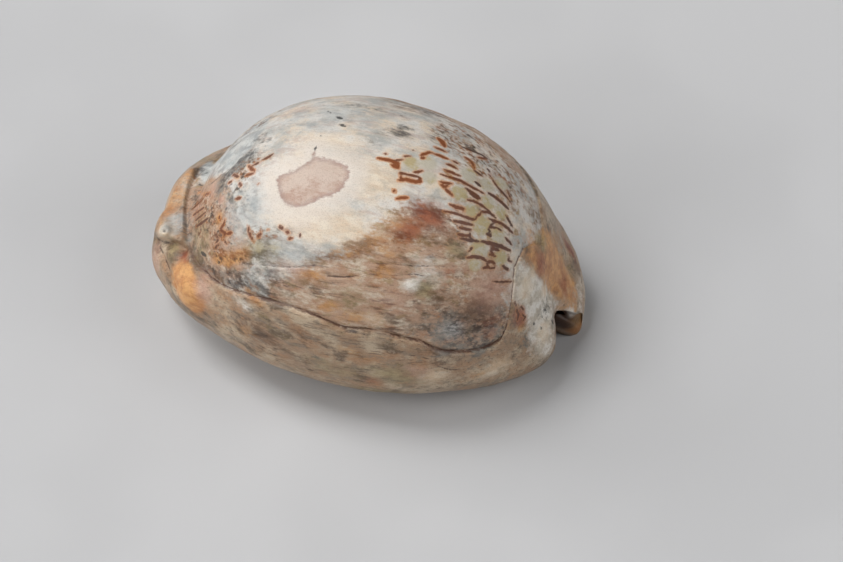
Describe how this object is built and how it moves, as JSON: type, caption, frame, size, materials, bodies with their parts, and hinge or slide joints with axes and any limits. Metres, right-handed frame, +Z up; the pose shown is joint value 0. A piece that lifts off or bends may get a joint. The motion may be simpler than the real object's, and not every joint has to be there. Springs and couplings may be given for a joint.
{
  "type": "cowrie shell",
  "caption": "Egg-shaped hollow sea shell with a domed, worn and mottled back, a thick lapped margin, a canal notch at each end and a narrow toothed slit along its base.",
  "frame": {"origin": "under the middle of the overall box, on the surface that the shell lies on", "axes": "+X along the aperture towards the front canal, +Y towards the inner lip's side, +Z up through the back"},
  "size_m": [0.07, 0.0492, 0.0386],
  "materials": {
    "shell": "worn shell lime, satin to chalky, off-white and blue-grey with tan, orange and red-brown markings"
  },
  "bodies": {
    "root": {"shell": "shell"}
  },
  "joints": []
}
